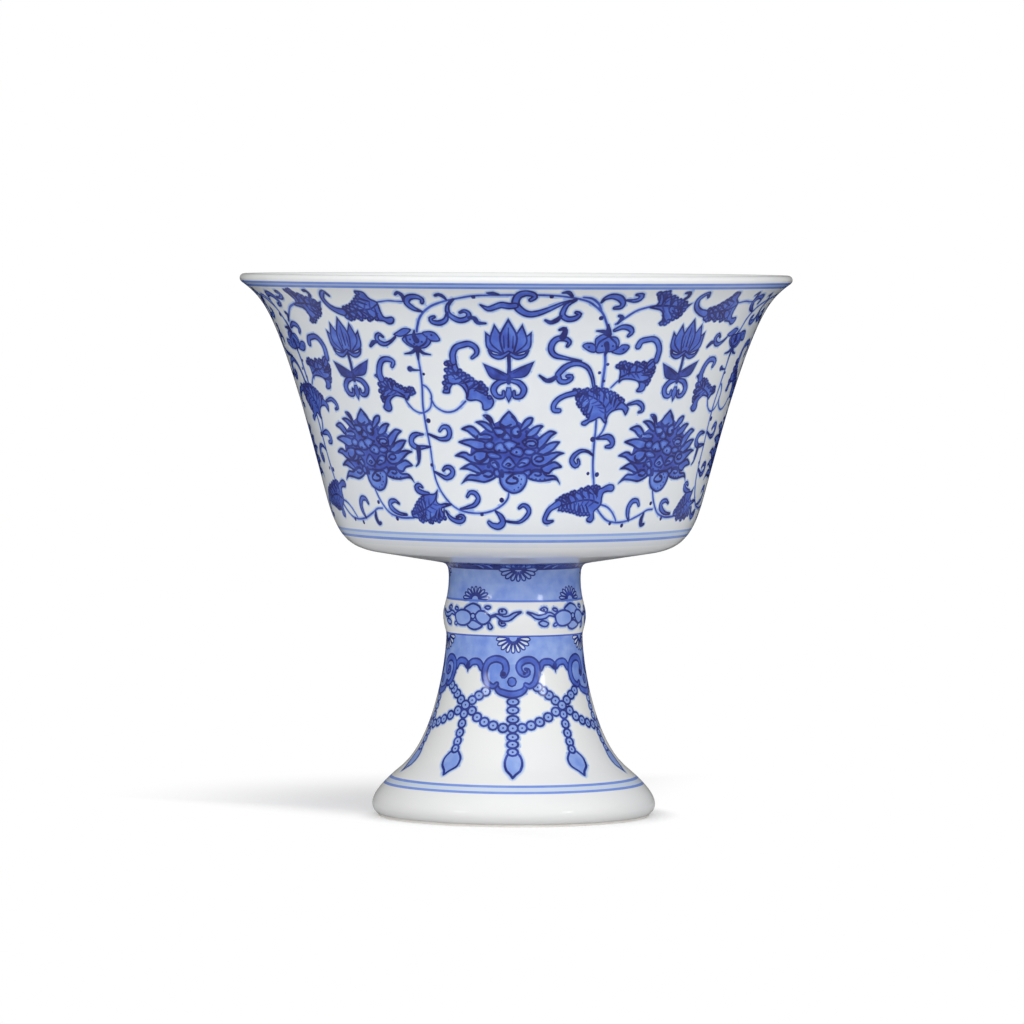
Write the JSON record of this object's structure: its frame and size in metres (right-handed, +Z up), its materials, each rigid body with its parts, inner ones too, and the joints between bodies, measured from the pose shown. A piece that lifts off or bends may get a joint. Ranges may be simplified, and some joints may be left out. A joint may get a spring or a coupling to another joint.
{
  "type": "stem cup",
  "caption": "Porcelain stem cup: a flared bowl luted to a hollow stem with a raised ring and a spreading foot, glazed over underglaze blue painting.",
  "frame": {"origin": "centre of the foot ring, on the surface that the cup stands on", "axes": "+Z up along the axis of the cup, from the foot to the rim; +Y away from the side that the picture shows"},
  "size_m": [0.102, 0.102, 0.1],
  "materials": {
    "porcelain": "bare hard-fired porcelain, matt, opaque, faintly buff where the foot ring is left without glaze",
    "slip": "fired porcelain slip, matt and opaque",
    "painted_glaze": "glossy glaze, faintly blue over white porcelain, with cobalt blue painting under it on the outside",
    "plain_glaze": "glossy glaze, faintly blue over white porcelain, without painting"
  },
  "bodies": {
    "root": {"bowl": "porcelain", "stem": "porcelain", "luting_slip": "slip", "cup_glaze": "painted_glaze", "foot_glaze": "plain_glaze"}
  },
  "joints": []
}
